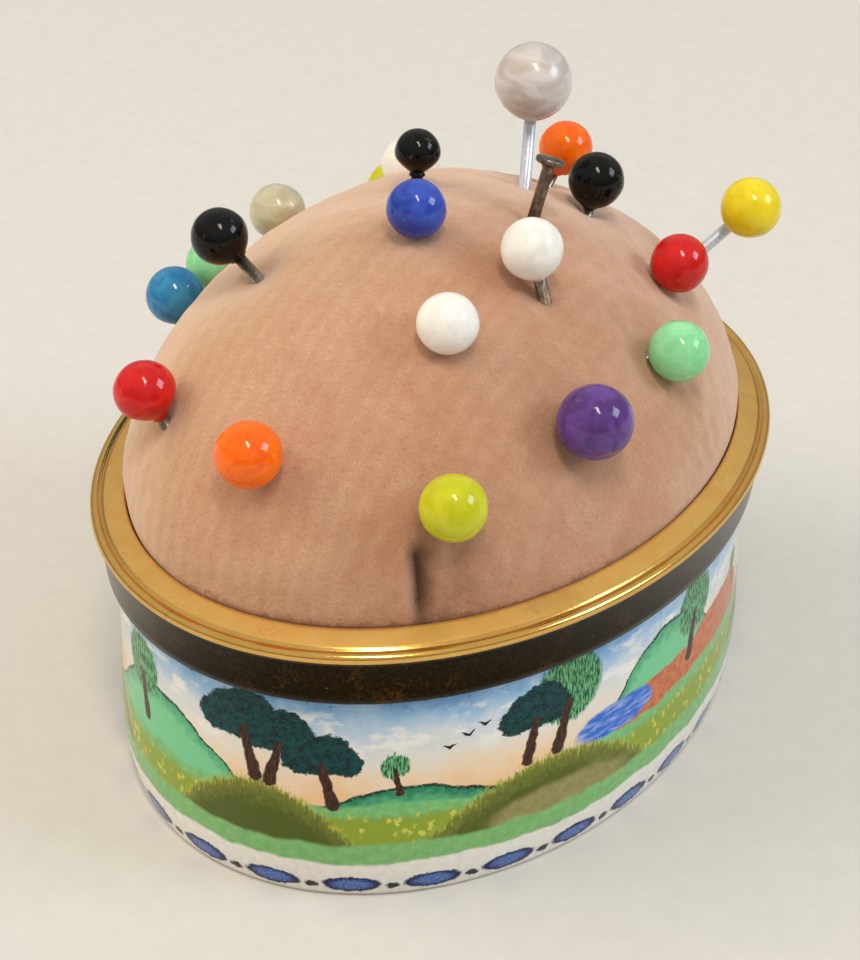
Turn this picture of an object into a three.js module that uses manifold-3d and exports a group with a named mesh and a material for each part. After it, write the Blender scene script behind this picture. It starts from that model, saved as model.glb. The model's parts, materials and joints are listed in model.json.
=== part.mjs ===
// An oval enamelled copper box with a gilt rim, filled by a domed velvet cushion that holds twenty-one
// loose pins. Millimetres, +Z up, origin at the centre of the box's flat underside, long axis along Y.
import * as THREE from "three";
import { mergeVertices } from "three/addons/utils/BufferGeometryUtils.js";
import Module from "manifold-3d";

const wasm = await Module();
wasm.setup();

// The oval. Every outline is the rim's outer edge moved inwards by one distance all the way round.
const LONG_HALF = 22.5;
const SHORT_HALF = 17.15;
const OVAL_SIDES = 40;
const FLOOR_HALF = 12; // inside this the floors' triangles shrink in proportion

// The box wall, outside face first, as [half length, height]. Three coats lie inside one another.
const WALL_TOP = 15.2;
const WALL_OUTLINE = [
  [21.1, 0],
  [21.4, 0.3],
  [21.7, 2.25],
  [21.45, 7.5],
  [21.2, WALL_TOP],
];
const ENAMEL_THICKNESS = 0.45;
const COPPER_THICKNESS = 0.5;
const LINING_THICKNESS = 0.25;
const COAT_GAP = 0.05;

// The rim: an upright band, a bead on its top edge, and a lip that turns inwards.
const RIM_TOP = 16.2;
const BAND_BOTTOM = 12.9;
const BAND_TAPER = 0.55;
const BAND_THICKNESS = 0.45;
const BEAD_RADIUS = 0.3;
const LIP_EDGE = 20.6;
const LIP_RISE = 0.4;
const LIP_THICKNESS = 0.4;

// The cushion. Its dome leans a little towards the back and the right.
const VELVET_HALF = 20.4;
const VELVET_THICKNESS = 0.8;
const TUCK_HALF = 19.55;
const HEM_THICKNESS = 0.6;
const HEM_EDGE = 13;
const HEM_BOTTOM = 1.6;
const SOFT_GAP = 0.3;
const CARD_THICKNESS = 1.2;
const THREAD_DIAMETER = 0.5;
const THREAD_SIDES = 8;
const DOME_BASE = 16.5;
const DOME_HEIGHT = 12;
const DOME_POWER = 1.6;
const DOME_RINGS = 8;
const DOME_LEAN = { x: 1, y: 1.5 };
const DOME_SLOPE = { x: -0.2, y: -0.1 };

// The pins: a glass or pearl ball on a steel shank, and one plain steel pin with a flat head.
const SHANK_DIAMETER = 0.65;
const SHANK_LENGTH = 18;
const SHANK_SIDES = 8;
const POINT_LENGTH = 2.5;
const POINT_DIAMETER = 0.12;
const HOLE_CLEARANCE = 0.3;
const HOLE_BELOW_POINT = 0.4;
const HOLE_ABOVE_VELVET = 3;
const HEAD_SIDES = 10;
const HEAD_RINGS = 6;
const NECK_DIAMETER = 1.2;
const SOCKET_SHARE = 0.55; // how deep the shank goes into its head, as a share of the head's diameter
const SOCKET_CLEARANCE = 0.04;
const FLAT_HEAD_THICKNESS = 0.4;

const COLOURS = {
  enamel: 0xd8dfe2,
  copper: 0xb06a42,
  lining: 0xe8e4da,
  gilt: 0xc79a48,
  velvet: 0xcda47f,
  wadding: 0xe6dfce,
  card: 0xb59f7c,
  thread: 0xd9cfb8,
  steel: 0x8f8b84,
  white: 0xe9e6e0,
  black: 0x0c0b0a,
  red: 0xd21a1c,
  orange: 0xff6a08,
  yellow: 0xe3d23a,
  lime: 0xbfc22c,
  mint: 0x96dfa2,
  skyBlue: 0x2f7fb6,
  royalBlue: 0x3c58c4,
  purple: 0x633d90,
  pearl: 0xcfc8be,
  cream: 0xb9b28e,
};

// The ball-headed pins, one row each: name, colour, where it goes in (on the plan of the dome before it
// leans), heading and lean (the way it tips, in degrees from +X and from upright), bare (the shank left
// showing under the head), push (how much further in it can go), ball (the head's diameter), and the
// shank's length where it isn't the usual one.
const BALL_PINS = [
  ["pearl_tall", "pearl", [-0.5, 7], 85, 5, 4, 2.5, 4.2, 24],
  ["pearl_left", "cream", [-13, 5], 165, 45, 0.3, 0, 3.3],
  ["white_upper", "white", [6, -3], 200, 15, 1.5, 0.8, 3.2],
  ["white_middle", "white", [4, -9], -75, 25, 0.2, 0, 3.1],
  ["white_back", "white", [-8.5, 12], 165, 40, 0.2, 0, 3.5],
  ["black_right", "black", [3, 8], 60, 15, 0.5, 0, 3.1],
  ["black_left", "black", [-7.5, -8], -170, 45, 1.5, 1.2, 3],
  ["black_top", "black", [-4, 1], 115, 15, 1, 0.7, 2.5],
  ["orange_back", "orange", [-1, 11.5], 45, 25, 1, 0.7, 3.1],
  ["orange_front", "orange", [-0.5, -17.5], -90, 45, 0.2, 0, 3.3],
  ["red_right", "red", [7.5, 8], -30, 60, 1, 0, 3.2],
  ["red_left", "red", [-7.5, -15.5], 215, 25, 0.5, 0, 3.2],
  ["mint_right", "mint", [11, 0.5], 0, 60, 0.2, 0, 3.2],
  ["mint_left", "mint", [-14, 0], 155, 75, 0.3, 0, 3.2],
  ["lime_front", "lime", [8, -15], -40, 40, 0.3, 0, 3.3],
  ["lime_back", "lime", [-10, 13.5], 155, 50, 0.8, 0, 3.2],
  ["blue_left", "skyBlue", [-14.5, -2.5], 185, 40, 0.4, 0, 3.3],
  ["blue_top", "royalBlue", [-1.5, -4], -30, 15, 0.3, 0, 3.1],
  ["yellow_right", "yellow", [7.5, 13], 10, 40, 4, 2.5, 3.4],
  ["purple_right", "purple", [11, -7.5], -25, 35, 0.3, 0, 3.8],
].map(([name, colour, at, heading, lean, bare, push, ball, shank = SHANK_LENGTH]) => {
  return { name, colour, at, heading, lean, bare, push, ball, shank };
});
const FLAT_PIN = {
  name: "steel_flat",
  at: [2.5, 1.5],
  heading: 70,
  lean: 20,
  bare: 3.5,
  push: 3,
  disc: 1.6,
  shank: 22,
};

function shiny(colour, roughness = 0.15, metalness = 0) {
  return new THREE.MeshStandardMaterial({ color: COLOURS[colour], roughness, metalness });
}

// The half width on the short axis where the half length is given.
function halfWidth(halfLength) {
  const difference = LONG_HALF - SHORT_HALF;
  if (halfLength >= FLOOR_HALF) return halfLength - difference;
  return (halfLength * (FLOOR_HALF - difference)) / FLOOR_HALF;
}

// A point of the upright dome, carried to where the leaning dome has it.
function leaned(x, y, z) {
  const rise = (z - DOME_BASE) / DOME_HEIGHT;
  const outness = Math.pow(Math.max(0, 1 - rise * rise), 1 / DOME_POWER);
  const shift = 1 - outness * outness;
  const slope = (DOME_SLOPE.x * x) / halfWidth(VELVET_HALF) + (DOME_SLOPE.y * y) / VELVET_HALF;
  return [x + DOME_LEAN.x * shift, y + DOME_LEAN.y * shift, z + (z - DOME_BASE) * slope];
}

// A profile of [half length, height] points turned round the oval. Points above the dome's base lean.
function ovalGeometry(profile, isDome = false) {
  const points = profile.map(([r, z]) => new THREE.Vector2(r, z));
  const geometry = new THREE.LatheGeometry(points, OVAL_SIDES);
  geometry.rotateX(Math.PI / 2);
  const position = geometry.getAttribute("position");
  const domeRatio = halfWidth(VELVET_HALF) / VELVET_HALF;
  for (let i = 0; i < position.count; i += 1) {
    const [x, y, z] = [position.getX(i), position.getY(i), position.getZ(i)];
    const r = Math.hypot(x, y);
    if (isDome && z >= DOME_BASE) position.setXYZ(i, ...leaned(x * domeRatio, y, z));
    else if (r > 0) position.setX(i, (x * halfWidth(r)) / r);
  }
  geometry.computeVertexNormals();
  return geometry;
}

function toSolid(geometry) {
  const bare = geometry.clone();
  bare.deleteAttribute("normal");
  bare.deleteAttribute("uv");
  const merged = mergeVertices(bare, 1e-4);
  const vertProperties = new Float32Array(merged.getAttribute("position").array);
  const triVerts = new Uint32Array(merged.index.array);
  return new wasm.Manifold(new wasm.Mesh({ numProp: 3, vertProperties, triVerts }));
}

function toGeometry(solid) {
  const mesh = solid.getMesh();
  const geometry = new THREE.BufferGeometry();
  geometry.setAttribute("position", new THREE.BufferAttribute(new Float32Array(mesh.vertProperties), 3));
  geometry.setIndex(new THREE.BufferAttribute(new Uint32Array(mesh.triVerts), 1));
  geometry.computeVertexNormals();
  return geometry;
}

// One coat of the box: a cup between two depths measured inwards from the wall's outside face.
function coatGeometry(outerDepth, innerDepth) {
  const face = (depth) => WALL_OUTLINE.map(([r, z]) => [r - depth, z < 1 ? z + depth : z]);
  const outer = face(outerDepth);
  const inner = face(innerDepth).reverse();
  return ovalGeometry([[0, outerDepth], ...outer, ...inner, [0, innerDepth]]);
}

function rimGeometry() {
  const outside = LONG_HALF - BAND_TAPER;
  const beadSide = LONG_HALF - BEAD_RADIUS;
  return ovalGeometry([
    [outside - BAND_THICKNESS, BAND_BOTTOM],
    [outside, BAND_BOTTOM],
    [beadSide, RIM_TOP - 3 * BEAD_RADIUS],
    [LONG_HALF, RIM_TOP - BEAD_RADIUS],
    [beadSide, RIM_TOP],
    [beadSide - BEAD_RADIUS, RIM_TOP - 0.12],
    [LIP_EDGE, RIM_TOP + LIP_RISE],
    [LIP_EDGE, RIM_TOP + LIP_RISE - LIP_THICKNESS],
    [outside - BAND_THICKNESS, RIM_TOP - LIP_THICKNESS],
    [outside - BAND_THICKNESS, BAND_BOTTOM],
  ]);
}

// The dome's rings from the rim to the top, a given depth below the velvet's face.
function domeRings(depth) {
  const rings = [];
  for (let i = 0; i <= DOME_RINGS; i += 1) {
    const outness = Math.cos((i / DOME_RINGS) * (Math.PI / 2));
    const height = (DOME_HEIGHT - depth) * Math.sqrt(Math.max(0, 1 - Math.pow(outness, DOME_POWER)));
    rings.push([i === DOME_RINGS ? 0 : outness * (VELVET_HALF - depth), DOME_BASE + height]);
  }
  return rings;
}

// The velvet runs over the dome, down inside the wall and in under the card.
function coverGeometry() {
  const hemTop = HEM_BOTTOM + HEM_THICKNESS;
  const inside = TUCK_HALF - HEM_THICKNESS;
  return ovalGeometry(
    [
      ...domeRings(VELVET_THICKNESS).reverse(),
      [inside, WALL_TOP - SOFT_GAP],
      [inside, hemTop],
      [HEM_EDGE, hemTop],
      [HEM_EDGE, HEM_BOTTOM],
      [TUCK_HALF, HEM_BOTTOM],
      [TUCK_HALF, WALL_TOP + 0.5 * SOFT_GAP],
      [VELVET_HALF, WALL_TOP + 1.5 * SOFT_GAP],
      ...domeRings(0),
    ],
    true,
  );
}

const CARD_BOTTOM = HEM_BOTTOM + HEM_THICKNESS + SOFT_GAP;
const FILLING_HALF = TUCK_HALF - HEM_THICKNESS - SOFT_GAP;

function fillingGeometry() {
  const bottom = CARD_BOTTOM + CARD_THICKNESS + SOFT_GAP;
  const dome = domeRings(VELVET_THICKNESS + SOFT_GAP);
  const wall = [[0, bottom], [FILLING_HALF, bottom], [FILLING_HALF, WALL_TOP - SOFT_GAP]];
  return ovalGeometry([...wall, ...dome], true);
}

function cardGeometry() {
  const top = CARD_BOTTOM + CARD_THICKNESS;
  return ovalGeometry([[0, CARD_BOTTOM], [FILLING_HALF, CARD_BOTTOM], [FILLING_HALF, top], [0, top]]);
}

// The drawn-up thread lies just inside the hem's edge.
function threadGeometry() {
  const radius = THREAD_DIAMETER / 2;
  const centre = HEM_EDGE - SOFT_GAP - radius;
  const height = HEM_BOTTOM + HEM_THICKNESS / 2;
  const points = [];
  for (let i = 0; i <= THREAD_SIDES; i += 1) {
    const turn = (i / THREAD_SIDES) * Math.PI * 2;
    points.push([centre + radius * Math.cos(turn), height + radius * Math.sin(turn)]);
  }
  return ovalGeometry(points);
}

// Where a pin meets the velvet, and the turn that takes +Z to its axis.
function placePin(pin, object) {
  const [x, y] = pin.at;
  const outness = Math.hypot(x / halfWidth(VELVET_HALF), y / VELVET_HALF);
  const height = DOME_HEIGHT * Math.sqrt(1 - Math.pow(outness, DOME_POWER));
  const lean = THREE.MathUtils.degToRad(pin.lean);
  const heading = THREE.MathUtils.degToRad(pin.heading);
  const flat = Math.sin(lean);
  const axis = new THREE.Vector3(flat * Math.cos(heading), flat * Math.sin(heading), Math.cos(lean));
  object.position.set(...leaned(x, y, DOME_BASE + height));
  object.quaternion.setFromUnitVectors(new THREE.Vector3(0, 0, 1), axis);
  object.updateMatrixWorld(true);
}

function pointDepth(pin) {
  return pin.shank - pin.bare;
}

function turnedGeometry(profile, sides) {
  const points = profile.map(([r, z]) => new THREE.Vector2(r, z));
  return new THREE.LatheGeometry(points, sides).rotateX(Math.PI / 2);
}

// A shank from its point up to a given height above the velvet, with any further profile on top.
function shankProfile(pin, top, rest = []) {
  const radius = SHANK_DIAMETER / 2;
  const point = -pointDepth(pin);
  return [
    [0, point],
    [POINT_DIAMETER / 2, point + POINT_DIAMETER],
    [radius, point + POINT_LENGTH],
    [radius, top],
    ...rest,
  ];
}

function ballGeometry(pin) {
  const radius = pin.ball / 2;
  const centre = pin.bare + radius;
  const socket = SHANK_DIAMETER / 2 + SOCKET_CLEARANCE;
  const socketTop = pin.bare + pin.ball * SOCKET_SHARE;
  const profile = [
    [0, socketTop],
    [socket, socketTop],
    [socket, pin.bare],
    [NECK_DIAMETER / 2, pin.bare],
  ];
  const neckTurn = Math.asin(NECK_DIAMETER / 2 / radius) * 1.4;
  for (let i = 0; i < HEAD_RINGS; i += 1) {
    const turn = neckTurn + ((Math.PI - neckTurn) * i) / HEAD_RINGS;
    profile.push([radius * Math.sin(turn), centre - radius * Math.cos(turn)]);
  }
  profile.push([0, centre + radius]);
  return turnedGeometry(profile, HEAD_SIDES);
}

function ballPin(pin) {
  const group = new THREE.Group();
  const head = new THREE.Mesh(ballGeometry(pin), shiny(pin.colour));
  const top = pin.bare + pin.ball * SOCKET_SHARE - SOCKET_CLEARANCE;
  const shank = new THREE.Mesh(
    turnedGeometry([...shankProfile(pin, top), [0, top]], SHANK_SIDES),
    shiny("steel", 0.3, 1),
  );
  head.name = pin.name + "_head";
  shank.name = pin.name + "_shank";
  group.add(head, shank);
  placePin(pin, group);
  return group;
}

function flatPin(pin) {
  const top = pin.bare + FLAT_HEAD_THICKNESS;
  const disc = [
    [pin.disc / 2, pin.bare],
    [pin.disc / 2, top],
    [0, top],
  ];
  const profile = shankProfile(pin, pin.bare, disc);
  const mesh = new THREE.Mesh(turnedGeometry(profile, SHANK_SIDES), shiny("steel", 0.3, 1));
  mesh.name = pin.name + "_pin";
  placePin(pin, mesh);
  return mesh;
}

const PINS = [...BALL_PINS, FLAT_PIN];

// A soft solid with a hole for every pin, long enough for the pin pushed right in.
function pierced(geometry) {
  let solid = toSolid(geometry);
  for (const pin of PINS) {
    const depth = pointDepth(pin) + pin.push + HOLE_BELOW_POINT;
    const radius = SHANK_DIAMETER / 2 + HOLE_CLEARANCE;
    const length = depth + HOLE_ABOVE_VELVET;
    const hole = new THREE.CylinderGeometry(radius, radius, length, SHANK_SIDES);
    hole.rotateX(Math.PI / 2);
    hole.translate(0, 0, HOLE_ABOVE_VELVET - length / 2);
    const frame = new THREE.Object3D();
    placePin(pin, frame);
    hole.applyMatrix4(frame.matrixWorld);
    solid = solid.subtract(toSolid(hole));
  }
  return toGeometry(solid);
}

const group = new THREE.Group();

function addPiece(name, geometry, material) {
  const mesh = new THREE.Mesh(geometry, material);
  mesh.name = name;
  group.add(mesh);
}

const copperDepth = ENAMEL_THICKNESS + COAT_GAP;
const liningDepth = copperDepth + COPPER_THICKNESS + COAT_GAP;

addPiece("enamel_coat", coatGeometry(0, ENAMEL_THICKNESS), shiny("enamel", 0.1));
addPiece("copper_shell", coatGeometry(copperDepth, copperDepth + COPPER_THICKNESS), shiny("copper", 0.4, 1));
addPiece("lining_enamel", coatGeometry(liningDepth, liningDepth + LINING_THICKNESS), shiny("lining", 0.2));
addPiece("gilt_rim", rimGeometry(), shiny("gilt", 0.15, 1));
addPiece("velvet_cover", pierced(coverGeometry()), shiny("velvet", 0.9));
addPiece("cushion_filling", pierced(fillingGeometry()), shiny("wadding", 1));
addPiece("base_card", cardGeometry(), shiny("card", 0.9));
addPiece("gathering_thread", threadGeometry(), shiny("thread", 0.8));
group.add(...BALL_PINS.map(ballPin), flatPin(FLAT_PIN));

export default group;
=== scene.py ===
import json
import math

import bpy
import numpy as np
from mathutils import Matrix, Vector, noise


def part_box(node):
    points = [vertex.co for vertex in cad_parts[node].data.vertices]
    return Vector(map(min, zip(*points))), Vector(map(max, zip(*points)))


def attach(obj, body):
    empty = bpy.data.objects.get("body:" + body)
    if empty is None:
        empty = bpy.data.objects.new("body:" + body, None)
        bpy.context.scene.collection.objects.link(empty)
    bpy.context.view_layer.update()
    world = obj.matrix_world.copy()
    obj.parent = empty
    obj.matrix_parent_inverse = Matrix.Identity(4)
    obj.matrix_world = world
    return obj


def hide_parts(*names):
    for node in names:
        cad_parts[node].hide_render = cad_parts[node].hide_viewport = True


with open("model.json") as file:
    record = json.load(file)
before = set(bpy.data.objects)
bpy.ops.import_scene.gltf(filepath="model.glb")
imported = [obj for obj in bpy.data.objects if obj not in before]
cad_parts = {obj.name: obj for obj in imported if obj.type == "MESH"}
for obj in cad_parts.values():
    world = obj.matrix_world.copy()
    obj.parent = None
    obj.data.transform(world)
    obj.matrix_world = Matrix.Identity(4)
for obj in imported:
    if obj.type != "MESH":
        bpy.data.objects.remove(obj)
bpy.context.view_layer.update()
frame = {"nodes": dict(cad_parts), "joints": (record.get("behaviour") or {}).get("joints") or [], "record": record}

# The oval pin cushion: an enamelled box with a gilt rim, a domed velvet cushion and twenty-one pins.
# Lengths in this script are millimetres, in the frame's axes. Only mesh data and lights are in metres.
MM = 0.001
nodes = frame["nodes"]


def box_mm(node):
    low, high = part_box(node)
    return low / MM, high / MM


RIM_LOW, RIM_HIGH = box_mm("gilt_rim")
CUP_HIGH = box_mm("enamel_coat")[1]
COVER_LOW, COVER_HIGH = box_mm("velvet_cover")
LONG_HALF = RIM_HIGH.y
OVAL_DIFFERENCE = RIM_HIGH.y - RIM_HIGH.x
LIP_TOP = RIM_HIGH.z
VELVET_HALF = COVER_HIGH.y
WALL_TOP = CUP_HIGH.z
FOOT_HALF = CUP_HIGH.y

# The dome, as the frame has it: a super-ellipse that leans a little back and right.
DOME_BASE = 16.5
DOME_HEIGHT = 12
DOME_POWER = 1.6
DOME_LEAN = (1, 1.5)
DOME_SLOPE = (-0.2, -0.1)
VELVET_PROUD = 0.3  # the pile stands this far off the frame's dome, so that heads sink in a little

OVAL_COLUMNS = 288


# -------- mesh helpers


def new_object(name, data):
    made = bpy.data.objects.new(name, data)
    bpy.context.scene.collection.objects.link(made)
    return made


def mesh_object(name, points, faces, material=None):
    """A smooth-shaded object from points in millimetres."""
    mesh = bpy.data.meshes.new(name)
    mesh.from_pydata([tuple(MM * c for c in p) for p in points], [], faces)
    mesh.validate()
    mesh.polygons.foreach_set("use_smooth", [True] * len(mesh.polygons))
    if material:
        mesh.materials.append(material)
    return new_object(name, mesh)


def oval_point(half_length, turn, height):
    """turn 0 is the front end at -Y, and grows towards +X."""
    if half_length > OVAL_DIFFERENCE * 2:
        half_width = half_length - OVAL_DIFFERENCE
    else:
        half_width = half_length / 2
    return (half_width * math.sin(turn), -half_length * math.cos(turn), height)


def oval_mesh(name, profile, material, columns=OVAL_COLUMNS):
    """A profile of (half length, height) carried anticlockwise round the oval, as columns of points.

    The profile closes on itself, or starts and ends in the middle, at half length 0."""
    capped = profile[0][0] == 0
    rings = profile[1:-1] if capped else profile
    count = len(rings)
    points = []
    for c in range(columns):
        turn = 2 * math.pi * c / columns
        points += [oval_point(r, turn, z) for r, z in rings]
    faces = []
    for c in range(columns):
        here, there = c * count, ((c + 1) % columns) * count
        for i in range(count - 1 if capped else count):
            j = (i + 1) % count
            faces.append((here + i, there + i, there + j, here + j))
        if capped:
            faces.append((here, len(points), there))
            faces.append((here + count - 1, there + count - 1, len(points) + 1))
    if capped:
        points += [(0, 0, profile[0][1]), (0, 0, profile[-1][1])]
    return mesh_object(name, points, faces, material)


def add_piece(piece, body, slot, *replaced):
    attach(piece, body)
    if replaced:
        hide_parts(*replaced)
    return piece


# -------- material helpers


class Material:
    """A node material, with short calls for the nodes that repeat. Values may be numbers or sockets."""

    def __init__(self, name, **values):
        self.material = bpy.data.materials.new(name)
        self.material.use_nodes = True
        self.tree = self.material.node_tree
        self.shader = self.tree.nodes["Principled BSDF"]
        self.look(**values)

    def look(self, **values):
        """Sets the shader's inputs: Base_Color stands for its Base Color."""
        for key, value in values.items():
            self.set(self.shader.inputs[key.replace("_", " ")], value)

    def set(self, socket, value):
        if isinstance(value, bpy.types.NodeSocket):
            self.tree.links.new(value, socket)
        elif isinstance(value, (int, float)):
            socket.default_value = value
        else:
            size = len(socket.default_value)
            socket.default_value = tuple(value)[:size] + (1.0,) * (size - len(value))

    def node(self, kind, *values, output=0, settings=None, **named):
        """A node with its first inputs in order and others by name."""
        made = self.tree.nodes.new("ShaderNode" + kind)
        for key, value in (settings or {}).items():
            setattr(made, key, value)
        for key, value in [*enumerate(values), *named.items()]:
            self.set(made.inputs[key], value)
        return made.outputs[output]

    def math(self, operation, a, b=0.0, c=0.0, clamp=False):
        return self.node("Math", a, b, c, settings={"operation": operation, "use_clamp": clamp})

    def plus(self, a, b):
        return self.math("ADD", a, b)

    def minus(self, a, b):
        return self.math("SUBTRACT", a, b)

    def times(self, a, b):
        return self.math("MULTIPLY", a, b)

    def over(self, a, b):
        return self.math("DIVIDE", a, b)

    def size_of(self, a):
        return self.math("ABSOLUTE", a)

    def vector_math(self, operation, a, b=(0, 0, 0), output=0):
        return self.node("VectorMath", a, b, output=output, settings={"operation": operation})

    def stretched(self, vector, amount):
        return self.vector_math("MULTIPLY", vector, amount)

    def scaled(self, vector, share):
        return self.node("VectorMath", vector, settings={"operation": "SCALE"}, Scale=share)

    def along(self, axis, vector):
        return self.node("SeparateXYZ", vector, output="XYZ".index(axis))

    def fade(self, value, low, high, to_low=0.0, to_high=1.0, smooth=True):
        """Goes from to_low to to_high while the value goes from low to high."""
        settings = {"interpolation_type": "SMOOTHSTEP" if smooth else "LINEAR"}
        return self.node("MapRange", value, low, high, to_low, to_high, settings=settings)

    def mix(self, share, *colours):
        """Each of the two colours is a socket, or is given as the eye sees it, 0 to 255."""
        made = self.tree.nodes.new("ShaderNodeMix")
        made.data_type = "RGBA"
        self.set(made.inputs[0], share)
        for socket, colour in zip(made.inputs[6:8], colours):
            self.set(socket, colour if isinstance(colour, bpy.types.NodeSocket) else srgb(*colour))
        return made.outputs[2]

    def noise(self, vector, scale, detail=3.0, roughness=0.55, distortion=0.0, colour=False):
        return self.node(
            "TexNoise", output=1 if colour else 0,
            Vector=vector, Scale=scale, Detail=detail, Roughness=roughness, Distortion=distortion,
        )

    def wave(self, vector, direction, *scale_and_detail):
        settings = {"wave_type": "BANDS", "bands_direction": direction}
        return self.node("TexWave", vector, *scale_and_detail, settings=settings)

    def millimetres(self):
        """The piece's own coordinates, in millimetres."""
        coordinates = self.tree.nodes.new("ShaderNodeTexCoord").outputs["Object"]
        return self.stretched(coordinates, (1 / MM, 1 / MM, 1 / MM))

    def bump(self, height, distance, strength=1.0):
        made = self.tree.nodes.new("ShaderNodeBump")
        self.set(made.inputs["Height"], height)
        made.inputs["Distance"].default_value = distance * MM
        made.inputs["Strength"].default_value = strength
        self.look(Normal=made.outputs[0])


def srgb(r, g, b):
    """A colour given as the eye sees it, 0 to 255, as linear light."""
    linear = []
    for c in (r, g, b):
        c = c / 255
        linear.append(c / 12.92 if c <= 0.04045 else ((c + 0.055) / 1.055) ** 2.4)
    return (*linear, 1.0)


# -------- camera, light and floor

CAMERA_AZIMUTH = 28.65
CAMERA_ELEVATION = 34.0
CAMERA_ROLL = 0.815
CAMERA_TARGET = (0, 0, 8.09)
CAMERA_DISTANCE = 119.3
CAMERA_LENS = 78.08
CAMERA_SHIFT = (-0.0111, 0.0693)
LIGHT_DISTANCE = 600
WARM_LIGHT = (1.0, 0.88, 0.72)
COOL_LIGHT = (0.74, 0.87, 1.0)
WALL_DIM, WALL_PALE = 0.22, 0.64  # how bright the studio's walls are at the floor, and high up
WALL_RISE = 0.6  # how high the pale part starts, as the sine of the elevation
FLOOR_HALF = 6000


def camera_axes():
    """Right, up and back, as the columns of a matrix."""
    azimuth, elevation, roll = map(math.radians, (CAMERA_AZIMUTH, CAMERA_ELEVATION, CAMERA_ROLL))
    level = math.cos(elevation)
    back = Vector((math.sin(azimuth) * level, -math.cos(azimuth) * level, math.sin(elevation)))
    right = Vector((math.cos(azimuth), math.sin(azimuth), 0))
    up = back.cross(right)
    rolled_right = math.cos(roll) * right + math.sin(roll) * up
    rolled_up = math.cos(roll) * up - math.sin(roll) * right
    return Matrix((rolled_right, rolled_up, back)).transposed()


def make_camera():
    data = bpy.data.cameras.new("camera")
    camera = new_object("camera", data)
    axes = camera_axes()
    place = Vector(CAMERA_TARGET) + CAMERA_DISTANCE * axes.col[2]
    camera.matrix_world = Matrix.Translation(place * MM) @ axes.to_4x4()
    data.lens = CAMERA_LENS
    data.shift_x, data.shift_y = CAMERA_SHIFT
    data.clip_start, data.clip_end = 1 * MM, 20
    bpy.context.scene.camera = camera
    # Colours come out of the render as they are set, with no film curve over them.
    bpy.context.scene.view_settings.view_transform = "Standard"


def area_light(name, direction, length, width, power, colour, tilt=0.0, glints=True):
    """A light in a direction given in the camera's right, up and back. tilt turns it about its own beam."""
    data = bpy.data.lights.new(name, "AREA")
    data.shape = "RECTANGLE"
    data.size, data.size_y = length * MM, width * MM
    data.energy = power
    data.color = colour
    light = new_object(name, data)
    light.visible_glossy = glints
    axes = camera_axes()
    away = (axes @ Vector(direction)).normalized()
    right = axes.col[0] - axes.col[0].dot(away) * away
    right.normalize()
    up = away.cross(right)
    turn = math.radians(tilt)
    long_side = math.cos(turn) * right + math.sin(turn) * up
    basis = Matrix((long_side, away.cross(long_side), away)).transposed()
    place = Vector(CAMERA_TARGET) + LIGHT_DISTANCE * away
    light.matrix_world = Matrix.Translation(place * MM) @ basis.to_4x4()


def make_lights():
    area_light("key_strip", (0.07, 0.52, 0.85), 230, 65, 1.2, WARM_LIGHT, tilt=-63)
    area_light("window", (0.83, 0.37, 0.43), 190, 260, 1.3, COOL_LIGHT)
    area_light("soft_left", (-0.8, 0.5, 0.3), 500, 500, 2.0, WARM_LIGHT, glints=False)
    world = bpy.data.worlds.new("studio")
    bpy.context.scene.world = world
    world.use_nodes = True
    tree = world.node_tree
    background = tree.nodes["Background"]
    background.inputs["Color"].default_value = (1.0, 0.97, 0.92, 1)
    # The studio's walls are dim near the floor and pale above it.
    direction = tree.nodes.new("ShaderNodeTexCoord").outputs["Generated"]
    parts = tree.nodes.new("ShaderNodeSeparateXYZ")
    tree.links.new(direction, parts.inputs[0])
    rise = tree.nodes.new("ShaderNodeMapRange")
    for socket, value in zip(rise.inputs[1:5], (0.0, WALL_RISE, WALL_DIM, WALL_PALE)):
        socket.default_value = value
    tree.links.new(parts.outputs[2], rise.inputs[0])
    tree.links.new(rise.outputs[0], background.inputs["Strength"])


def make_floor():
    corners = [(x * FLOOR_HALF, y * FLOOR_HALF, 0) for x, y in ((-1, -1), (1, -1), (1, 1), (-1, 1))]
    m = Material("floor_paper", Roughness=0.85)
    grain = m.noise(m.millimetres(), 0.6, 4)
    m.look(Base_Color=m.mix(grain, (204, 202, 197), (214, 212, 207)))
    m.bump(m.noise(m.millimetres(), 3, 3), 0.02)
    mesh_object("floor", corners, [(0, 1, 2, 3)], m.material)


# -------- the enamelled cup

# The wall's outside face, as (half length, height), rounded over its foot.
WALL_OUTLINE = [(21.1, 0.0), (21.32, 0.12), (21.44, 0.4), (21.6, 1.2), (21.7, 2.25), (21.68, 3.4),
                (21.6, 5.2), (21.45, 7.5), (21.36, 10), (21.27, 12.6), (21.2, 15.2)]
WALL_THICKNESS = 0.45
FOOT_ROUNDING = 0.3  # the inside has no points below this
FLOOR_RINGS = (2, 6, 11, 16)
PERIMETER = 118.5  # once round the wall, as the painting counts it
DASHES = 28  # blue dashes on the white foot


def oval_arc():
    """The distance round the wall from the front end for each column, in millimetres."""
    arc = [0.0]
    previous = Vector(oval_point(FOOT_HALF, 0, 0))
    for c in range(1, OVAL_COLUMNS + 1):
        point = Vector(oval_point(FOOT_HALF, 2 * math.pi * c / OVAL_COLUMNS, 0))
        arc.append(arc[-1] + (point - previous).length)
        previous = point
    return arc


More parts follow.
